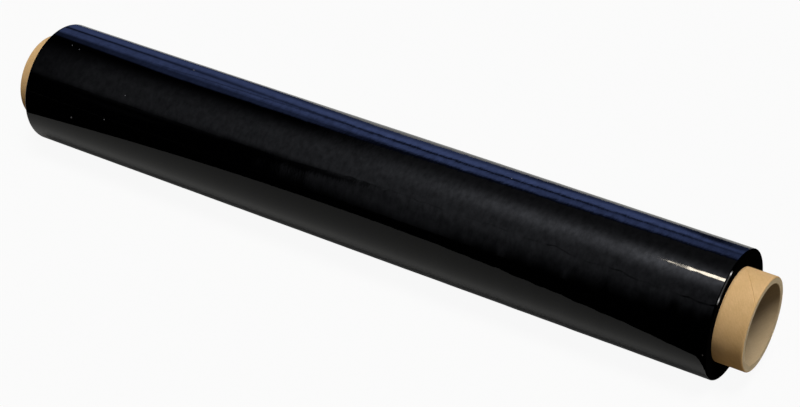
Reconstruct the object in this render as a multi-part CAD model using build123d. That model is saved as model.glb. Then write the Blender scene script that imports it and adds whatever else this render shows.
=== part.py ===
from build123d import *
import math
import os

# A roll of black stretch film wound on a paperboard core, lying on its side.
# Millimetres: X runs along the roll with +X at the near end, Z is up and the film lies on Z = 0.

# Film
FILM_WIDTH = 500.0
FILM_BUILD_UP = 11.25
FLAT_SPOT_DEPTH = 0.45
TAIL_STEP = 0.25
TAIL_ANGLE = 41.0

# Film ends: a small soft lip and a face that sinks towards the core
LIP_ROUNDING = 0.9
LIP_OVERRUN = 0.12
LIP_FLATS = 4
END_DISH = 1.5
TURNS = 6
TURN_GROOVE_WIDTH = 0.45
TURN_GROOVE_DEPTH = 0.45
TURN_MARGIN = 0.6

# Core
BORE_RADIUS = 25.0
CORE_WALL = 4.5
CORE_OVERHANG_NEAR = 17.5
CORE_OVERHANG_FAR = 13.5
OUTER_RIM_BEVEL = 0.6
BORE_RIM_BEVEL = 0.4

# Seam between the turns of the core's outer ply: the angle is where the near end of the film covers it
SEAM_LEAD = 120.0
SEAM_WIDTH = 0.7
SEAM_DEPTH = 0.3
SEAM_ANGLE = 72.0

# Reach of the cutting bodies past the faces that they cut
REACH = 3.0

FULL_TURN = 360.0
HALF_TURN = 180.0
QUARTER_TURN = 90.0

core_radius = BORE_RADIUS + CORE_WALL
film_radius = core_radius + FILM_BUILD_UP
core_length = FILM_WIDTH + CORE_OVERHANG_NEAR + CORE_OVERHANG_FAR
axis_height = film_radius - FLAT_SPOT_DEPTH
core_far_x = -core_length / 2
core_near_x = core_length / 2
film_far_x = core_far_x + CORE_OVERHANG_FAR
film_near_x = core_near_x - CORE_OVERHANG_NEAR
lip_radius = film_radius + LIP_OVERRUN
end_face_radius = lip_radius - LIP_ROUNDING


def half_turns(start_radius, pitch, count):
    """Arcs of a spiral that starts on the local x axis and comes in by the pitch at each turn."""
    arcs = []
    radius = start_radius
    for index in range(count):
        if index % 2 == 0:
            arcs.append(CenterArc((0, 0), radius, 0, HALF_TURN))
        else:
            arcs.append(CenterArc((-pitch / 2, 0), radius, HALF_TURN, HALF_TURN))
        radius -= pitch / 2
    return arcs


def film_end_profile():
    """What is cleared away outside a film end, in local x (outwards) and y (radius)."""
    lip = []
    for index in range(LIP_FLATS + 1):
        angle = math.radians(QUARTER_TURN * index / LIP_FLATS)
        out = LIP_ROUNDING * (math.cos(angle) - 1)
        lip.append((out, end_face_radius + LIP_ROUNDING * math.sin(angle)))
    return make_face(
        Polyline(
            (-END_DISH, core_radius - REACH),
            (-END_DISH, core_radius),
            *lip,
            (-LIP_ROUNDING, film_radius + REACH),
            (REACH, film_radius + REACH),
            (REACH, core_radius - REACH),
            close=True,
        )
    )


def turn_groove_zone():
    """The layer of a film end that the groove between turns cuts, in local x and y."""
    return make_face(
        Polyline(
            (-END_DISH - TURN_GROOVE_DEPTH, core_radius),
            (-TURN_GROOVE_DEPTH, end_face_radius),
            (REACH, end_face_radius),
            (REACH, core_radius),
            close=True,
        )
    )


# Each film end has its own local plane: x outwards along the roll, y up from the axis
near_end = Plane((film_near_x, 0, axis_height), x_dir=(1, 0, 0), z_dir=(0, -1, 0))
far_end = Plane((film_far_x, 0, axis_height), x_dir=(-1, 0, 0), z_dir=(0, 1, 0))

# Cross-section plane of the film: local x points at the free edge of the last turn,
# and the turns go from there up over the top of the roll
tail_angle = math.radians(TAIL_ANGLE)
tail_direction = (0, -math.cos(tail_angle), math.sin(tail_angle))
film_section = Plane((film_near_x, 0, axis_height), x_dir=tail_direction, z_dir=(-1, 0, 0))

# Film: the last turn ends in a step along the whole roll
last_turn = half_turns(film_radius, TAIL_STEP, 2)
tail_edge = Line(last_turn[-1] @ 1, last_turn[0] @ 0)
film_outline = make_face(last_turn + [tail_edge]) - Circle(core_radius)
film = extrude(film_section * film_outline, FILM_WIDTH)

end_clearing = revolve(film_end_profile(), Axis.X, FULL_TURN)
film = film - near_end * end_clearing - far_end * end_clearing

# The turns show on both ends as one spiral groove
first_turn_radius = end_face_radius - TURN_MARGIN
last_turn_radius = core_radius + TURN_MARGIN
turn_pitch = (first_turn_radius - last_turn_radius) / TURNS
outer_wall = half_turns(first_turn_radius + TURN_GROOVE_WIDTH / 2, turn_pitch, 2 * TURNS)
inner_wall = half_turns(first_turn_radius - TURN_GROOVE_WIDTH / 2, turn_pitch, 2 * TURNS)
groove_start = Line(outer_wall[0] @ 0, inner_wall[0] @ 0)
groove_stop = Line(outer_wall[-1] @ 1, inner_wall[-1] @ 1)
turn_outline = make_face(outer_wall + inner_wall + [groove_start, groove_stop])
turn_zone = revolve(turn_groove_zone(), Axis.X, FULL_TURN)
near_turns = extrude(film_section * turn_outline, END_DISH + REACH, both=True) & near_end * turn_zone
far_section = film_section.offset(FILM_WIDTH)
far_turns = extrude(far_section * turn_outline, END_DISH + REACH, both=True) & far_end * turn_zone
film = film - near_turns - far_turns

# The soft roll lies on a small flat spot
film = split(film, Plane.XY, keep=Keep.TOP)

# Core: a tube whose cut rims have their edges broken
core_section = Plane((core_far_x, 0, axis_height), x_dir=(0, 1, 0), z_dir=(1, 0, 0))
core = extrude(core_section * (Circle(core_radius) - Circle(BORE_RADIUS)), core_length)
rims = core.edges().filter_by(GeomType.CIRCLE)
core = chamfer(rims.filter_by(lambda rim: rim.radius > BORE_RADIUS + CORE_WALL / 2), OUTER_RIM_BEVEL)
rims = core.edges().filter_by(GeomType.CIRCLE)
core = chamfer(rims.filter_by(lambda rim: abs(rim.radius - BORE_RADIUS) < CORE_WALL / 4), BORE_RIM_BEVEL)

# The outer ply's seam winds round the whole core as a shallow groove
seam_far_x = core_far_x - REACH
seam_length = core_length + 2 * REACH
seam_start = math.radians(SEAM_ANGLE - FULL_TURN * (film_near_x - seam_far_x) / SEAM_LEAD)
seam_path = Helix(SEAM_LEAD, seam_length, core_radius)
seam_plane = Plane(seam_path @ 0, x_dir=(1, 0, 0), z_dir=seam_path % 0)
seam_section = seam_plane * Rectangle(2 * SEAM_DEPTH, SEAM_WIDTH)
seam = sweep(seam_section, path=seam_path, is_frenet=True)
seam_place = Plane(
    (seam_far_x, 0, axis_height),
    x_dir=(0, math.cos(seam_start), math.sin(seam_start)),
    z_dir=(1, 0, 0),
)
core = core - seam_place * seam

os.makedirs("parts", exist_ok=True)
export_step(core, "parts/core_tube.step")
export_step(film, "parts/film_roll.step")
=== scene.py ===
"""Stretch wrap roll: the look of the wound black film and its paperboard core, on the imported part."""
import math

import bpy
import numpy as np
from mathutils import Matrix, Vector


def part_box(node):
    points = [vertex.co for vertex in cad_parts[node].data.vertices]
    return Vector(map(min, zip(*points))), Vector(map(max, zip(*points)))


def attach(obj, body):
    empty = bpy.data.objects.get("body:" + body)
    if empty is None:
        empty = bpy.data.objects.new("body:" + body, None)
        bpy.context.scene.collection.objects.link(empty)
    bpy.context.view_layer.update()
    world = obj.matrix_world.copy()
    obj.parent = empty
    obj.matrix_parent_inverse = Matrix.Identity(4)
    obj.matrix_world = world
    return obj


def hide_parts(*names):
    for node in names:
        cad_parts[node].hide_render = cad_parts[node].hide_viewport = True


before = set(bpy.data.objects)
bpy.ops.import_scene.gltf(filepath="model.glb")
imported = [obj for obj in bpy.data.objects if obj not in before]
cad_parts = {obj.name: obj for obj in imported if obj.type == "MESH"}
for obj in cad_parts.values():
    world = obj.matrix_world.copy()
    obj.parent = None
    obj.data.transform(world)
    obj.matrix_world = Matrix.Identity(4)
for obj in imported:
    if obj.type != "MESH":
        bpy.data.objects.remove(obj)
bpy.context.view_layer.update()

MM = 0.001

# Axes of the frame
ALONG, ACROSS, UP = range(3)

# Sizes of the part, in millimetres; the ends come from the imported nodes
AXIS_Z = 40.3
FILM_RADIUS = 40.75
CORE_RADIUS = 29.5
BORE_RADIUS = 25.0
film_low, film_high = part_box("film_roll")
core_low, core_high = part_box("core_tube")
FILM_FAR = film_low[ALONG] / MM
FILM_NEAR = film_high[ALONG] / MM
CORE_FAR = core_low[ALONG] / MM
CORE_NEAR = core_high[ALONG] / MM

# Film: its soft ends, and the free edge of the last turn with its bevel in degrees
LIP_ROUNDING = 1.1
LIP_RUN = 3.0
FACE_RADIUS = FILM_RADIUS - LIP_ROUNDING
END_DISH = 1.5
TURN_PITCH = 1.56
TURN_DEPTH = 0.3
TAIL_STEP = 0.2
TAIL_BEVEL = 2.0
SKIN_INSET = 0.04
SKIN_RELIEF = 0.07
EDGE_RELIEF = 0.3
FILM_IOR = 1.3

# Core: rounded rims, and the seam of the outer ply with its angles in degrees.
# The seam's angle is the one at the film's near end, from +Y towards +Z.
OUTER_RIM = 0.8
BORE_RIM = 0.5
SEAM_LEAD = 120.0
SEAM_ANGLE = 72.0
SEAM_DEPTH = 0.22
SEAM_HALF_ANGLE = 1.0
BOARD_RELIEF = 0.12
BOARD_IOR = 1.3

# Points of the meshes on each stretch of a section, and round the axis.
# The core's walls have finer steps next to its ends; that run and its step are in millimetres.
FACE_POINTS = 31
LIP_POINTS = 8
LIP_RUN_POINTS = 4
SKIN_POINTS = 262
TAIL_POINTS = 7
FILM_TURN_POINTS = 252
RIM_POINTS = 6
CUT_POINTS = 8
CORE_POINTS = 150
CORE_TURN_POINTS = 150
CORE_END_RUN = 24.0
CORE_END_STEP = 1.2

# Materials of the meshes, in their order
FILM_SKIN, FILM_EDGES = range(2)
CORE_OUTSIDE, CORE_CUT, CORE_BORE = range(3)

# Colours
FILM_BLACK = (0.0002, 0.0002, 0.0003)
EDGE_BLACK = (0.0016, 0.0016, 0.0018)
# Grey of the specks: partly dust, partly painted glints
DUST_AND_GLINT_GREY = (0.12, 0.12, 0.13)
FLOOR_GREY = (0.48, 0.48, 0.465)
FLOOR_BOUNCE = (0.25, 0.215, 0.16)
CARD_BLACK = (0, 0, 0)
WINDOW_BLUE = (0.29, 0.415, 1.0)
CEILING_GREY = (0.87, 0.9, 1.0)
LAMP_WARM = (1.0, 0.9, 0.74)
END_LIGHT_WHITE = (1.0, 0.98, 0.95)

# Light grey specks on the film, partly dust and partly painted glints: place along the roll, angle above
# level on the viewer's side, and radius
DUST_AND_GLINT_SPECKS = [(-232, 76.6, 0.3), (-225, 74.8, 0.3), (-174, 45.6, 0.35), (-212, 8.3, 0.6), (-185, 17.7, 0.45),
          (-143, 98.8, 0.5), (96, 95.2, 0.45), (246, -4.0, 0.5)]

# Stage, in metres: the floor, and the planes of the cards that only the gloss shows
FLOOR_REACH = 8.0
FLAG_HEIGHT = 0.002
SCREEN_GAP = 0.0001
SCREEN_REACH = 3.0
WINDOW_Y = 0.3
CEILING_Z = 1.2
LAMP_Z = 1.18
END_LIGHT_X = 1.3

# Where the gloss shows the cards: stretches along the roll in millimetres, angles in degrees
WINDOW_STRETCH = (-256, 256)
CEILING_STRETCH = (-262, 268)
CEILING_LOW = 20.5
STREAK_ANGLE = 61.5
LAMP_ANGLE = 63.4
LAMP_STRETCHES = {"lamp_dot": (213.4, 215.6), "lamp": (219.6, 247.5)}
END_LIGHT_TILTS = (14, 50)
END_LIGHT_LOW = 40
END_LIGHT_HIGH = 74

# Strength of the lamp card, and of floor and world by what looks at them
LAMP_GLOW = 1.1
FLOOR_TO_EYE = 0.93
FLOOR_TO_GLOSS = 0.06
WORLD_TO_EYE = 0.96
WORLD_TO_ALL = 0.004

# Camera, from a fit to the photo's outlines
CAMERA_AT = Vector((0.57188, -0.90670, 0.77849))
CAMERA_TO = Vector((0.01905, 0.0, 0.03646))
CAMERA_LENS = 92.2


def smooth(low, high, value):
    """Smooth step from 0 at low to 1 at high."""
    share = np.clip((np.asarray(value, dtype=float) - low) / (high - low), 0.0, 1.0)
    return share * share * (3.0 - 2.0 * share)


def ridge(centre, width, value):
    """Bell curve of height 1."""
    return np.exp(-((value - centre) / width) ** 2)


def outward(angle):
    """Direction out of the film at an angle above level on the viewer's side."""
    lift = math.radians(angle)
    return Vector((0, -math.cos(lift), math.sin(lift)))


def film_point(x, angle):
    """Point of the film's skin, in metres."""
    return (Vector((x, 0, AXIS_Z)) + outward(angle) * FILM_RADIUS) * MM


# Meshes

def lathe(name, x, y, z, part, materials):
    """Closed mesh from a grid of points in millimetres.

    Rows go round the wall's section, and columns go round the axis.
    """
    rows, columns = x.shape
    points = np.stack([x, y, z], axis=-1).reshape(-1, 3) * MM
    row = np.arange(rows)[:, None]
    column = np.arange(columns)[None, :]
    next_row = (row + 1) % rows
    next_column = (column + 1) % columns
    corners = [row * columns + column, next_row * columns + column,
               next_row * columns + next_column, row * columns + next_column]
    faces = np.stack(corners, axis=-1).reshape(-1, 4)
    mesh = bpy.data.meshes.new(name)
    mesh.from_pydata(points.tolist(), [], faces.tolist())
    mesh.polygons.foreach_set("material_index", np.repeat(part, columns).astype(np.int32))
    mesh.polygons.foreach_set("use_smooth", np.ones(len(faces), dtype=bool))
    for material in materials:
        mesh.materials.append(material)
    mesh.validate()
    mesh.update()
    piece = bpy.data.objects.new(name, mesh)
    bpy.context.scene.collection.objects.link(piece)
    return piece


def columns_of(rows):
    """Place along the roll, radius and material of each row of a section."""
    x, radius, part = zip(*rows)
    return np.array(x)[:, None], np.array(radius)[:, None], np.array(part)


def film_end_rows():
    """Setback from the film's end, radius and material, from the core over the lip to the plain skin."""
    face = np.linspace(CORE_RADIUS, FACE_RADIUS, FACE_POINTS)
    rows = [(END_DISH * (FACE_RADIUS - r) / (FACE_RADIUS - CORE_RADIUS), r, FILM_EDGES) for r in face]
    for turn in np.radians(np.linspace(0, 90, LIP_POINTS))[1:]:
        setback = LIP_ROUNDING * (1 - math.cos(turn))
        rows.append((setback, FACE_RADIUS + LIP_ROUNDING * math.sin(turn), FILM_SKIN))
    run = np.linspace(LIP_ROUNDING, LIP_RUN, LIP_RUN_POINTS)[1:]
    rows += [(setback, FILM_RADIUS, FILM_SKIN) for setback in run]
    return rows


def tail_line(x):
    """Angle of the last turn's free edge above level on the viewer's side; it wanders along the roll."""
    places = [-252, -43, 1, 108, 147, 162, 182, 208, 248]
    angles = [36.0, 37.1, 41.2, 42.3, 42.4, 40.0, 41.2, 39.0, 39.3]
    flutter = 0.6 * np.sin(x / 4.3) * np.sin(x / 17.0)
    flutter = flutter + 0.4 * np.sin(x / 2.3 + 1.0) + 0.3 * np.sin(x / 1.4)
    return np.interp(x, places, angles) + flutter * smooth(-60, 20, x)


def skin_offset(x, turn, angle):
    """How far the skin stands off the film's radius: the last turn's step, and slight unevenness."""
    # The skin steps up at the free edge, and sinks by as much over the half turn that leads back to it
    grip = smooth(-1.1, 0.7, np.sin(x / 7.1) + 0.7 * np.sin(x / 3.3 + 1.0))
    loose = np.interp(x, [-60, 20, 50, 104, 112, 190, 210], [0.15, 0.2, 0.5, 0.5, 1, 1, 0.7])
    step = TAIL_STEP * (0.2 + 0.8 * grip) * loose
    fall = np.where(turn < TAIL_BEVEL, 1 - smooth(0, TAIL_BEVEL, turn), smooth(180, 360, turn))
    gauge = 0.012 * np.sin(x / 5.9 + 0.4) + 0.009 * np.sin(x / 3.7 + 1.9) + 0.02 * np.sin(x / 21.0)
    slack = 0.02 * np.sin(3 * angle + x / 55.0) + 0.012 * np.sin(7 * angle - x / 31.0 + 0.8)
    return gauge + slack - SKIN_INSET - step * fall


def turn_notch(radius, turn, part):
    """Depth of the spiral groove that shows the turns on the film's ends."""
    winding = (radius - CORE_RADIUS) / TURN_PITCH + turn / 360.0
    notch = TURN_DEPTH * ridge(0.5, 0.12, np.mod(winding, 1.0)) * (part[:, None] == FILM_EDGES)
    notch *= smooth(CORE_RADIUS, CORE_RADIUS + 0.8, radius)
    notch *= smooth(FACE_RADIUS - 0.2, FACE_RADIUS - 1.0, radius)
    return notch


def build_film(materials):
    """The wound film: dished ends with their turns, soft lips, and the last turn's edge along the skin."""
    end = film_end_rows()
    skin = np.linspace(FILM_NEAR - LIP_RUN, FILM_FAR + LIP_RUN, SKIN_POINTS)[1:-1]
    rows = [(FILM_NEAR - setback, radius, part) for setback, radius, part in end]
    rows += [(x, FILM_RADIUS, FILM_SKIN) for x in skin]
    rows += [(FILM_FAR + setback, radius, part) for setback, radius, part in reversed(end)]
    x, radius, part = columns_of(rows)
    bevel = np.linspace(0.0, TAIL_BEVEL, TAIL_POINTS)
    rest = np.linspace(TAIL_BEVEL, 360.0, FILM_TURN_POINTS)[1:-1]
    turn = np.concatenate([bevel, rest])[None, :]
    angle = np.radians(tail_line(x) + turn)
    on_skin = smooth(FACE_RADIUS, FILM_RADIUS, radius)
    radius = radius + on_skin * skin_offset(x, turn, angle)
    notch = turn_notch(radius, turn, part)
    x = x + np.where(x > 0, -notch, notch)
    z = np.maximum(AXIS_Z + radius * np.sin(angle), 0.0)
    return lathe("wound_film", x, -radius * np.cos(angle), z, part, materials)


def core_end_rows(end, inward):
    """One cut end of the core, from the outer face over the rounded rims to the bore."""
    arc = np.radians(np.linspace(0, 90, RIM_POINTS))[1:]
    outer = CORE_RADIUS - OUTER_RIM
    bore = BORE_RADIUS + BORE_RIM
    rows = []
    for turn in arc:
        setback = OUTER_RIM * (1 - math.sin(turn))
        rows.append((end + inward * setback, outer + OUTER_RIM * math.cos(turn), CORE_OUTSIDE))
    rows += [(end, radius, CORE_CUT) for radius in np.linspace(outer, bore, CUT_POINTS)[1:]]
    for turn in arc:
        setback = BORE_RIM * (1 - math.cos(turn))
        rows.append((end + inward * setback, bore - BORE_RIM * math.sin(turn), CORE_BORE))
    return rows


def build_core(materials):
    """The paperboard tube, twisted so that its columns follow the seam of the outer ply."""
    setbacks = np.concatenate([np.arange(OUTER_RIM, CORE_END_RUN, CORE_END_STEP), [CORE_END_RUN]])
    near = CORE_NEAR - setbacks
    far = CORE_FAR + setbacks
    middle = np.linspace(near[-1], far[-1], CORE_POINTS)[1:-1]
    along = np.concatenate([near, middle, far[::-1]])
    rows = [(x, CORE_RADIUS, CORE_OUTSIDE) for x in along]
    rows += core_end_rows(CORE_FAR, 1)
    rows += [(x, BORE_RADIUS, CORE_BORE) for x in along[::-1]]
    rows += core_end_rows(CORE_NEAR, -1)[::-1]
    x, radius, part = columns_of(rows)
    seam = SEAM_HALF_ANGLE * np.array([-2.2, -1.0, -0.7, -0.35, 0.0, 0.35, 0.7, 1.0, 2.2])
    rest = np.linspace(seam[-1], 360 + seam[0], CORE_TURN_POINTS)[1:-1]
    turn = np.concatenate([seam, rest])[None, :]
    angle = np.radians(SEAM_ANGLE + 360.0 * (x - FILM_NEAR) / SEAM_LEAD + turn)
    groove = SEAM_DEPTH * np.clip(1 - (turn / SEAM_HALF_ANGLE) ** 2, 0, 1)
    radius = radius - groove * (radius > CORE_RADIUS - SEAM_DEPTH / 2)
    z = AXIS_Z + radius * np.sin(angle)
    return lathe("paper_core", x + 0 * angle, radius * np.cos(angle), z, part, materials)


# Shader helpers

def new_material(name):
    """Material with its nodes and its main shader."""
    material = bpy.data.materials.new(name)
    material.use_nodes = True
    return material, material.node_tree, material.node_tree.nodes["Principled BSDF"]


def bare_material(name):
    """Material with nothing but its output."""
    material = bpy.data.materials.new(name)
    material.use_nodes = True
    material.node_tree.nodes.clear()
    return material, material.node_tree, material.node_tree.nodes.new("ShaderNodeOutputMaterial")


def feed(tree, socket, value):
    """Set a socket from a number or from another node's output."""
    if isinstance(value, bpy.types.NodeSocket):
        tree.links.new(value, socket)
    else:
        socket.default_value = value


def maths(tree, operation, *values):
    """Result of one operation on numbers."""
    node = tree.nodes.new("ShaderNodeMath")
    node.operation = operation
    for socket, value in zip(node.inputs, values):
        feed(tree, socket, value)
    return node.outputs[0]


def product(tree, first, *others):
    """All the values multiplied."""
    for other in others:
        first = maths(tree, "MULTIPLY", first, other)
    return first


def vector(tree, *values):
    """Vector of three values."""
    node = tree.nodes.new("ShaderNodeCombineXYZ")
    for socket, value in zip(node.inputs, values):
        feed(tree, socket, value)
    return node.outputs[0]


def noise(tree, place, scale, detail=2.0, roughness=0.5):
    """Value of a noise at a place."""
    node = tree.nodes.new("ShaderNodeTexNoise")
    node.inputs["Scale"].default_value = scale
    node.inputs["Detail"].default_value = detail
    node.inputs["Roughness"].default_value = roughness
    tree.links.new(place, node.inputs["Vector"])
    return node.outputs["Fac"]


def ramp(tree, value, low, high, start=0.0, end=1.0):
    """Go from start at low to end at high, and stay there."""
    node = tree.nodes.new("ShaderNodeMapRange")
    for socket, number in zip(("From Min", "From Max", "To Min", "To Max"), (low, high, start, end)):
        node.inputs[socket].default_value = number
    tree.links.new(value, node.inputs["Value"])
    return node.outputs[0]


def blend(tree, value, low, high, first, second):
    """Colour that goes from the first to the second as the value goes from low to high."""
    node = tree.nodes.new("ShaderNodeValToRGB")
    for stop, position, colour in zip(node.color_ramp.elements, (low, high), (first, second)):
        stop.position = position
        stop.color = (*colour, 1)
    tree.links.new(value, node.inputs[0])
    return node.outputs[0]


def bump(tree, shader, height, depth):
    """Relief of the height map, with its depth in millimetres."""
    node = tree.nodes.new("ShaderNodeBump")
    node.inputs["Distance"].default_value = depth * MM
    tree.links.new(height, node.inputs["Height"])
    tree.links.new(node.outputs["Normal"], shader.inputs["Normal"])


class RollPlace:
    """Where a shading point is: along the roll, across it and up from the axis; its angle and radius."""

    def __init__(self, tree):
        self.object = tree.nodes.new("ShaderNodeTexCoord").outputs["Object"]
        split = tree.nodes.new("ShaderNodeSeparateXYZ")
        tree.links.new(self.object, split.inputs[0])
        self.along = maths(tree, "MULTIPLY", split.outputs["X"], 1 / MM)
        self.across = maths(tree, "MULTIPLY", split.outputs["Y"], 1 / MM)
        self.up = maths(tree, "MULTIPLY_ADD", split.outputs["Z"], 1 / MM, -AXIS_Z)
        self.angle = maths(tree, "ARCTAN2", self.up, self.across)
        square = maths(tree, "MULTIPLY", self.across, self.across)
        self.radius = maths(tree, "SQRT", maths(tree, "MULTIPLY_ADD", self.up, self.up, square))

    def stretched(self, tree, round_scale):
        """Place with the directions round the roll scaled against the one along it."""
        across = maths(tree, "MULTIPLY", self.across, round_scale)
        return vector(tree, self.along, across, maths(tree, "MULTIPLY", self.up, round_scale))

    def on_end(self, tree, radius_scale, angle_scale):
        """Place on an end of the roll, by radius and angle."""
        radius = maths(tree, "MULTIPLY", self.radius, radius_scale)
        return vector(tree, radius, maths(tree, "MULTIPLY", self.angle, angle_scale), 0.0)


# Materials

def dust_and_glints(tree, place):
    """1 on the specks, 0 elsewhere: partly dust, partly painted glints."""
    total = 0.0
    for x, angle, radius in DUST_AND_GLINT_SPECKS:
        away = tree.nodes.new("ShaderNodeVectorMath")
        away.operation = "DISTANCE"
        tree.links.new(place.object, away.inputs[0])
        away.inputs[1].default_value = film_point(x, angle)
        speck = maths(tree, "LESS_THAN", away.outputs["Value"], radius * MM)
        total = maths(tree, "ADD", speck, total)
    return total


def film_ripples(tree, place):
    """Height of the ripples in the film's skin."""
    # Long waves grow towards the near end and calm down close to it; creases are strongest before the middle
    waves = noise(tree, place.stretched(tree, 0.8), 0.12)
    creases = noise(tree, place.stretched(tree, 0.5), 0.8, 1.0)
    near = ramp(tree, place.along, -160, -20, 0.2, 0.7)
    calm = ramp(tree, place.along, 175, 208, 1.0, 0.1)
    creased = ramp(tree, place.along, -150, -110)
    creased = product(tree, creased, ramp(tree, place.along, -40, 40, 0.24, 0.12))
    side = product(tree, waves, ramp(tree, place.up, 16, 30, 0.4, 1.0))
    height = product(tree, maths(tree, "MULTIPLY_ADD", creases, creased, side), near, calm)

    # Both grow from the top over to the back, where narrow bands run round the near end
    top = product(tree, ramp(tree, place.across, -16, 2), ramp(tree, place.along, -120, 20, 0.2, 1.1))
    crest = product(tree, maths(tree, "MULTIPLY_ADD", creases, 0.45, waves), top)
    bands = ramp(tree, noise(tree, vector(tree, place.along, 0.0, 0.0), 0.2, 1.0), 0.5, 0.75)
    bands = product(tree, bands, top, ramp(tree, place.along, 150, 215, 0.0, 0.5))
    return maths(tree, "ADD", height, maths(tree, "ADD", crest, bands))


def film_skin():
    """Glossy film: black below the gloss, with ripples, a little mottling, and grey specks that are partly
    dust and partly painted glints.
    """
    material, tree, shader = new_material("black_film")
    shader.inputs["Roughness"].default_value = 0.04
    shader.inputs["IOR"].default_value = FILM_IOR
    place = RollPlace(tree)
    # Painted glints: the grey specks stand partly for glints and partly for dust
    colour = blend(tree, dust_and_glints(tree, place), 0, 1, FILM_BLACK, DUST_AND_GLINT_GREY)
    tree.links.new(colour, shader.inputs["Base Color"])

    # The gloss is mottled on the upper half
    cloud = ramp(tree, noise(tree, place.stretched(tree, 0.7), 0.3, 4.0, 0.6), 0.3, 0.7, -0.16, 0.16)
    gloss = maths(tree, "MULTIPLY_ADD", cloud, ramp(tree, place.up, 10, 20), 0.5)
    tree.links.new(gloss, shader.inputs["Specular IOR Level"])
    bump(tree, shader, film_ripples(tree, place), SKIN_RELIEF)
    return material


def film_edges():
    """Ends of the roll: the edges of the turns, black and without gloss."""
    material, tree, shader = new_material("black_film_edges")
    shader.inputs["Base Color"].default_value = (*EDGE_BLACK, 1)
    shader.inputs["Roughness"].default_value = 0.7
    shader.inputs["Specular IOR Level"].default_value = 0.0
    rings = RollPlace(tree).on_end(tree, 3.0, 0.6)
    bump(tree, shader, noise(tree, rings, 1.6, 3.0, 0.7), EDGE_RELIEF)
    return material


def paper(name, bright, dark, cut):
    """Kraft paperboard: fibres along the ply, fine speckle and, on a cut, the edges of the plies."""
    material, tree, shader = new_material(name)
    shader.inputs["Roughness"].default_value = 0.85
    shader.inputs["IOR"].default_value = BOARD_IOR
    place = RollPlace(tree)
    beside_seam = maths(tree, "MULTIPLY_ADD", place.angle, -SEAM_LEAD / (2 * math.pi), place.along)
    round_core = maths(tree, "MULTIPLY", place.angle, CORE_RADIUS)
    with_seam = maths(tree, "MULTIPLY_ADD", place.along, 0.65, round_core)
    across_ply = maths(tree, "MULTIPLY", beside_seam, 1.2)
    ply = vector(tree, across_ply, maths(tree, "MULTIPLY", with_seam, 0.12), 0.0)
    fibres = noise(tree, ply, 1.0, 4.0, 0.65)
    speckle = noise(tree, place.object, 900.0, 3.0, 0.7)
    patches = noise(tree, place.object, 55.0)
    tone = maths(tree, "MULTIPLY_ADD", speckle, 0.35, maths(tree, "MULTIPLY", patches, 0.5))
    tone = maths(tree, "MULTIPLY_ADD", fibres, 0.5, tone)
    height = maths(tree, "MULTIPLY_ADD", speckle, 0.6, fibres)
    if cut:
        plies = noise(tree, place.on_end(tree, 2.2, 0.8), 1.0)
        tone = maths(tree, "MULTIPLY_ADD", plies, 0.9, maths(tree, "MULTIPLY", tone, 0.6))
        height = maths(tree, "MULTIPLY_ADD", plies, 2.0, height)
    tree.links.new(blend(tree, tone, 0.35, 0.95, dark, bright), shader.inputs["Base Color"])
    bump(tree, shader, height, BOARD_RELIEF)
    return material


def floor_material():
    """Pale floor: white to the eye, plain grey in the gloss, and dimmer in what it throws back."""
    material, tree, output = bare_material("floor")
    path = tree.nodes.new("ShaderNodeLightPath")
    white = maths(tree, "MULTIPLY", path.outputs["Is Camera Ray"], FLOOR_TO_EYE)
    white = maths(tree, "MULTIPLY_ADD", path.outputs["Is Transmission Ray"], FLOOR_TO_EYE, white)
    white = maths(tree, "MULTIPLY_ADD", path.outputs["Is Glossy Ray"], FLOOR_TO_GLOSS, white)
    matt = tree.nodes.new("ShaderNodeBsdfDiffuse")
    shade = blend(tree, path.outputs["Is Diffuse Ray"], 0, 1, FLOOR_GREY, FLOOR_BOUNCE)
    tree.links.new(shade, matt.inputs["Color"])
    mix = tree.nodes.new("ShaderNodeMixShader")
    tree.links.new(white, mix.inputs[0])
    tree.links.new(matt.outputs[0], mix.inputs[1])
    tree.links.new(tree.nodes.new("ShaderNodeEmission").outputs[0], mix.inputs[2])
    tree.links.new(mix.outputs[0], output.inputs["Surface"])
    return material


def glow_material(name, colour):
    """Light of one colour, as strong as the mesh's own glow says at each point."""
    material, tree, output = bare_material(name)
    level = tree.nodes.new("ShaderNodeAttribute")
    level.attribute_name = "glow"
    shine = tree.nodes.new("ShaderNodeEmission")
    shine.inputs["Color"].default_value = (*colour, 1)
    tree.links.new(level.outputs["Fac"], shine.inputs["Strength"])
    tree.links.new(shine.outputs[0], output.inputs["Surface"])
    return material


# The roll

film = build_film([film_skin(), film_edges()])
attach(film, "root")
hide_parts("film_roll")

core = build_core([
    paper("core_kraft", bright=(0.71, 0.46, 0.225), dark=(0.49, 0.295, 0.1), cut=False),
    paper("core_cut", bright=(0.62, 0.5, 0.32), dark=(0.44, 0.33, 0.19), cut=True),
    paper("core_bore", bright=(0.42, 0.315, 0.185), dark=(0.34, 0.25, 0.14), cut=False),
])
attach(core, "root")
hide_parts("core_tube")


# Stage helpers

def stage_mesh(name, points, faces, material):
    """Piece of the stage."""
    mesh = bpy.data.meshes.new(name)
    mesh.from_pydata([tuple(point) for point in points], [], faces)
    mesh.materials.append(material)
    thing = bpy.data.objects.new(name, mesh)
    bpy.context.scene.collection.objects.link(thing)
    return thing


def grid_faces(rows, columns):
    """Faces of a grid of points that are listed row by row."""
    faces = []
    for row in range(rows - 1):
        for column in range(columns - 1):
            corner = row * columns + column
            faces.append((corner, corner + 1, corner + columns + 1, corner + columns))
    return faces


def gloss_only(thing):
    """Keep a stage piece out of the picture and off every matt surface."""
    thing.visible_camera = False
    thing.visible_diffuse = False
    thing.visible_transmission = False
    thing.visible_shadow = False


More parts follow.
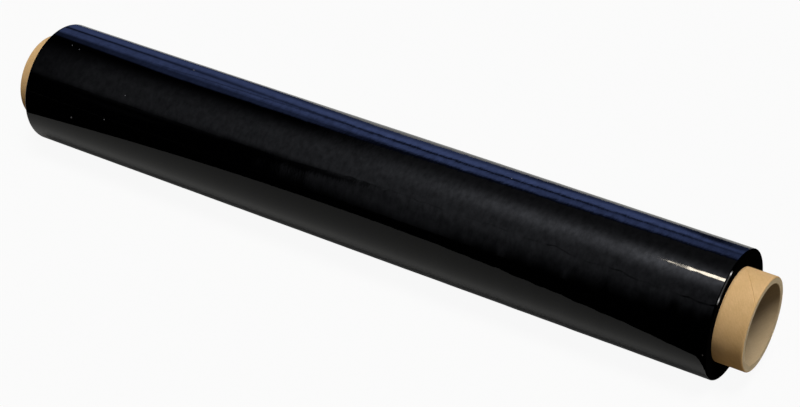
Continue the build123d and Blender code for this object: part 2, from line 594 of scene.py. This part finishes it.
def mirrored(point, normal, axis, level):
    """Where the camera's view by way of a glossy point meets a plane, and the share of light sent back."""
    ray = (point - CAMERA_AT).normalized()
    inward = -ray.dot(normal)
    ray = ray + 2 * inward * normal
    bent = math.sqrt(FILM_IOR ** 2 - 1 + inward ** 2)
    crosswise = ((inward - bent) / (inward + bent)) ** 2
    lengthwise = ((FILM_IOR ** 2 * inward - bent) / (FILM_IOR ** 2 * inward + bent)) ** 2
    return point + ray * (level - point[axis]) / ray[axis], (crosswise + lengthwise) / 2


def by_skin(x, angle, axis, level):
    """What the skin mirrors at a place along the roll."""
    return mirrored(film_point(x, angle), outward(angle), axis, level)


def by_lip(tilt, angle, axis, level):
    """What the near lip mirrors where it is tilted towards the end."""
    lean = math.radians(tilt)
    normal = outward(angle) * math.cos(lean) + Vector((math.sin(lean), 0, 0))
    return mirrored(film_point(FILM_NEAR, angle), normal, axis, level)


def lit_card(name, colour, axis, level, way, places, low, high, steps, shown):
    """Lit card on a plane that the gloss shows between two angles at those places, as bright as asked."""
    place = np.repeat(np.asarray(places, dtype=float)[:, None], steps, axis=1)
    angle = low(place) + (high(place) - low(place)) * np.linspace(0, 1, steps)
    hits = [way(*spot, axis, level) for spot in zip(place.ravel(), angle.ravel())]
    points = [point for point, share in hits]
    thing = stage_mesh(name, points, grid_faces(len(places), steps), glow_material(name, colour))
    glow = shown(place, angle).ravel() / np.array([share for point, share in hits])
    thing.data.attributes.new("glow", "FLOAT", "POINT").data.foreach_set("value", glow.astype(np.float32))
    gloss_only(thing)


def dark_card(name, edge, beyond):
    """Dark card between two lines of points."""
    faces = grid_faces(2, len(edge))
    gloss_only(stage_mesh(name, edge + beyond, faces, glow_material(name, CARD_BLACK)))


def level_line(angle):
    """Limit of a card that is at one angle all along."""
    return lambda place: angle + 0 * place


# Floor and dark cards

def floor():
    """Level floor under the roll."""
    corners = [(-1, -1), (1, -1), (1, 1), (-1, 1)]
    points = [(x * FLOOR_REACH, y * FLOOR_REACH, 0) for x, y in corners]
    stage_mesh("floor", points, [(0, 1, 2, 3)], floor_material())


def floor_end(x):
    """Angle where the pale floor ends in the film's gloss: an arch that drops off at the near end."""
    arch = 12.4 - (x - 15) ** 2 * np.where(x > 15, 0.00036, 0.00023)
    return arch - 1.5 * smooth(215, 235, x) - 13 * smooth(240, 248.5, x) ** 2


def front_flag():
    """Dark card on the floor in front: its edge is where the pale floor ends in the film's gloss."""
    places = np.concatenate([np.linspace(-252, 230, 16), np.linspace(238, 248, 6)])
    edge = [by_skin(x, angle, UP, FLAG_HEIGHT)[0] for x, angle in zip(places, floor_end(places))]
    lift = Vector((0, 0, FLAG_HEIGHT))
    beyond = [point.xy.normalized().to_3d() * FLOOR_REACH + lift for point in edge]
    dark_card("front_flag", edge, beyond)


def end_flag():
    """Dark card on the floor past the near end, which keeps the lip dark."""
    reach = (FILM_NEAR * MM, FLOOR_REACH)
    edge = [(x, -FLOOR_REACH, FLAG_HEIGHT) for x in reach]
    beyond = [(x, FLOOR_REACH, FLAG_HEIGHT) for x in reach]
    dark_card("end_flag", edge, beyond)


def end_screen():
    """Dark half ring behind the near lip: keeps the lip's light out of the gloss seen from other sides."""
    x = (FILM_NEAR - LIP_ROUNDING) * MM
    angles = np.linspace(0, 180, 49)
    inner = [film_point(0, angle) + outward(angle) * SCREEN_GAP for angle in angles]
    outer = [outward(angle) * SCREEN_REACH for angle in angles]
    edge = [(x, point.y, point.z) for point in inner]
    beyond = [(x, point.y, point.z) for point in outer]
    dark_card("end_screen", edge, beyond)


# Lit cards: their limits, and how bright the gloss shows them

def window_low(x):
    """Angle where the window starts."""
    return np.interp(x, [-252, -150, 0, 60, 248], [81, 78, 79, 81.5, 86])


def window_top(x):
    """Angle where the window ends."""
    return np.interp(x, [-252, -120, -60, 0, 120, 248], [117, 120.5, 114.5, 109, 112.5, 113.2])


def veil(x):
    """Faint light above the haze, all along the near half."""
    return 0.0042 * smooth(-50, 40, x)


def window_shown(x, angle):
    """Blue window behind the roll: two panes, a dark bar between them and a dim sill at the far half."""
    bar = np.interp(x, [-252, -130, 0, 60, 248], [100, 98.5, 93.1, 93.6, 96.8])
    bar_depth = np.interp(x, [-252, -80, 20, 200, 248], [0.95, 0.6, 0.95, 0.92, 0.4])
    bar_depth = bar_depth - 0.3 * ridge(165, 7, x) - 0.25 * ridge(191, 5, x)
    bar_width = np.where(angle > bar, 2 + 2 * ridge(-120, 40, x), 2)
    sill = np.interp(x, [-252, -120, 20, 120, 248], [89, 87.2, 84.6, 86, 88.6])
    lower = np.interp(x, [50, 110, 200, 248], [0.074, 0.066, 0.056, 0.042])
    upper = np.interp(x, [-60, 20, 70, 200, 248], [0.098, 0.114, 0.104, 0.1, 0.075])
    pane = lower + (upper - lower) * smooth(bar - 1, bar + 1, angle)
    pane = pane * (1 - bar_depth * ridge(bar, bar_width, angle))
    batten = np.interp(x, [-160, -120, -40], [88.5, 90.9, 93])
    batten_depth = 0.45 * smooth(-185, -140, x) * smooth(-20, -50, x)
    pane = pane * (1 - batten_depth * ridge(batten, 1.0, angle))
    shade_places = [-252, -120, 60, 115, 170, 205, 228, 244]
    top_shade = np.interp(x, shade_places, [0.1, 0.65, 0.5, 0.8, 0.5, 0.8, 0.95, 0.7])
    shade_low = window_top(x) - np.interp(x, [205, 228], [11, 15])
    pane = pane * (1 - top_shade * smooth(shade_low, shade_low + 8, angle))
    lit = pane * smooth(sill - 2.2, sill + 2.2, angle)
    dim = np.interp(x, [-252, -160], [0.012, 0.026]) * smooth(20, -50, x)
    dim = dim * smooth(0.5, 3, angle - window_low(x)) * smooth(sill + 1, sill - 1, angle)
    return lit + dim + veil(x)


def ceiling_shown(x, angle):
    """Dim ceiling: a broad haze over a dimmer apron, and a brighter streak towards the near end's lamp."""
    haze = np.interp(x, [-252, -200, -120, 0, 120, 248], [0.0028, 0.0072, 0.0093, 0.0125, 0.0113, 0.0065])
    haze_low = np.interp(x, [-252, -180, -67, 0, 60, 248], [33, 26, 36.5, 38.5, 31, 30])
    haze_rise = np.interp(x, [-252, -180, -67, 0, 60], [9, 18, 8.5, 6, 11])
    haze_top = np.interp(x, [-60, 20], [77.5, 80])
    apron = 0.5 * smooth(-62, -22, x)
    apron_low = np.interp(x, [-60, 0, 60, 120, 215, 248], [20, 17, 14, 19, 21, 27])
    shown = apron * smooth(apron_low, apron_low + 16, angle)
    shown = shown + (1 - apron) * smooth(haze_low, haze_low + haze_rise, angle)
    shown = shown * haze * smooth(haze_top, 54, angle)

    # Painted shade: a dark band in the ceiling's glow, along the last turn's edge, parts the haze from its
    # apron, and thins out towards the near end
    tail_shade = np.interp(x, [-52, -22, 8, 23, 58], [34, 37.5, 40, 42, 44])
    tail_shade_width = np.interp(x, [-52, 8, 23, 58], [4, 2, 1.2, 0.8])
    tail_shade_depth = np.interp(x, [-52, -22, 8, 23, 58], [1, 0.9, 0.65, 0.4, 0])
    shown = shown * (1 - tail_shade_depth * ridge(tail_shade, tail_shade_width, angle))
    streak = np.interp(x, [-100, 0, 60, 120, 180, 215, 248], [0, 0.003, 0.012, 0.023, 0.026, 0.048, 0.037])
    streak_width = np.where(angle < STREAK_ANGLE, 7.2, 6)
    return shown + streak * ridge(STREAK_ANGLE, streak_width, angle) + veil(x) * smooth(62, 70, angle)


def lamp_half(x):
    """Half the height of the lamp's streak: a dot, a blob where the streak starts, and a thicker end."""
    return 0.6 + 0.2 * smooth(217, 219, x) + 0.8 * ridge(221, 1.4, x) + 0.5 * smooth(228, 237, x)


def lamp_low(x):
    """Angle where the lamp's streak starts."""
    return LAMP_ANGLE - lamp_half(x)


def lamp_high(x):
    """Angle where the lamp's streak ends."""
    return LAMP_ANGLE + lamp_half(x)


def lamp_shown(x, angle):
    """Lamp over the near end: a warm streak, as bright all over."""
    return LAMP_GLOW + 0 * x


def end_shown(tilt, angle):
    """Light on the near lip: a grey streak with a glint at each end of it."""
    return 0.045 + 0.8 * ridge(71, 1.5, angle) + 0.35 * ridge(46, 1.8, angle)


floor()
front_flag()
end_flag()
end_screen()
lit_card("window", WINDOW_BLUE, ACROSS, WINDOW_Y, by_skin, np.linspace(*WINDOW_STRETCH, 128),
         window_low, window_top, steps=160, shown=window_shown)
lit_card("ceiling", CEILING_GREY, UP, CEILING_Z, by_skin, np.linspace(*CEILING_STRETCH, 64),
         level_line(CEILING_LOW), window_low, steps=90, shown=ceiling_shown)
for lamp_name, stretch in LAMP_STRETCHES.items():
    lit_card(lamp_name, LAMP_WARM, UP, LAMP_Z, by_skin, np.linspace(*stretch, 40),
             lamp_low, lamp_high, steps=4, shown=lamp_shown)
lit_card("end_light", END_LIGHT_WHITE, ALONG, END_LIGHT_X, by_lip, np.linspace(*END_LIGHT_TILTS, 28),
         level_line(END_LIGHT_LOW), level_line(END_LIGHT_HIGH), steps=60, shown=end_shown)


# Lamps for the matt board, world and camera

def sun(name, toward, strength, spread):
    """Sun that the gloss doesn't show, with its spread in degrees."""
    light = bpy.data.lights.new(name, "SUN")
    light.energy = strength
    light.angle = math.radians(spread)
    thing = bpy.data.objects.new(name, light)
    thing.rotation_mode = "QUATERNION"
    thing.rotation_quaternion = Vector(toward).to_track_quat("-Z", "Y")
    thing.visible_glossy = False
    bpy.context.scene.collection.objects.link(thing)


def place_camera():
    """Camera at the photo's view."""
    camera = bpy.data.cameras.new("camera")
    camera.sensor_width = 36.0
    camera.lens = CAMERA_LENS
    camera.clip_start = 0.05
    camera.clip_end = 60.0
    viewer = bpy.data.objects.new("camera", camera)
    viewer.location = CAMERA_AT
    viewer.rotation_mode = "QUATERNION"
    viewer.rotation_quaternion = (CAMERA_TO - CAMERA_AT).to_track_quat("-Z", "Y")
    bpy.context.scene.collection.objects.link(viewer)
    bpy.context.scene.camera = viewer


def studio():
    """World that is white to the eye and gives the roll next to no light."""
    world = bpy.data.worlds.new("studio")
    world.use_nodes = True
    tree = world.node_tree
    path = tree.nodes.new("ShaderNodeLightPath")
    background = tree.nodes["Background"]
    background.inputs["Color"].default_value = (1, 1, 1, 1)
    strength = maths(tree, "MULTIPLY_ADD", path.outputs["Is Camera Ray"], WORLD_TO_EYE, WORLD_TO_ALL)
    tree.links.new(strength, background.inputs["Strength"])
    bpy.context.scene.world = world


sun("key", toward=(-0.17, 0.13, -0.95), strength=2.86, spread=24)
sun("fill", toward=(-0.85, 0.08, -0.45), strength=0.45, spread=40)
sun("far_fill", toward=(0.95, 0.1, -0.1), strength=0.5, spread=40)
studio()
place_camera()
bpy.context.scene.view_settings.view_transform = "Standard"
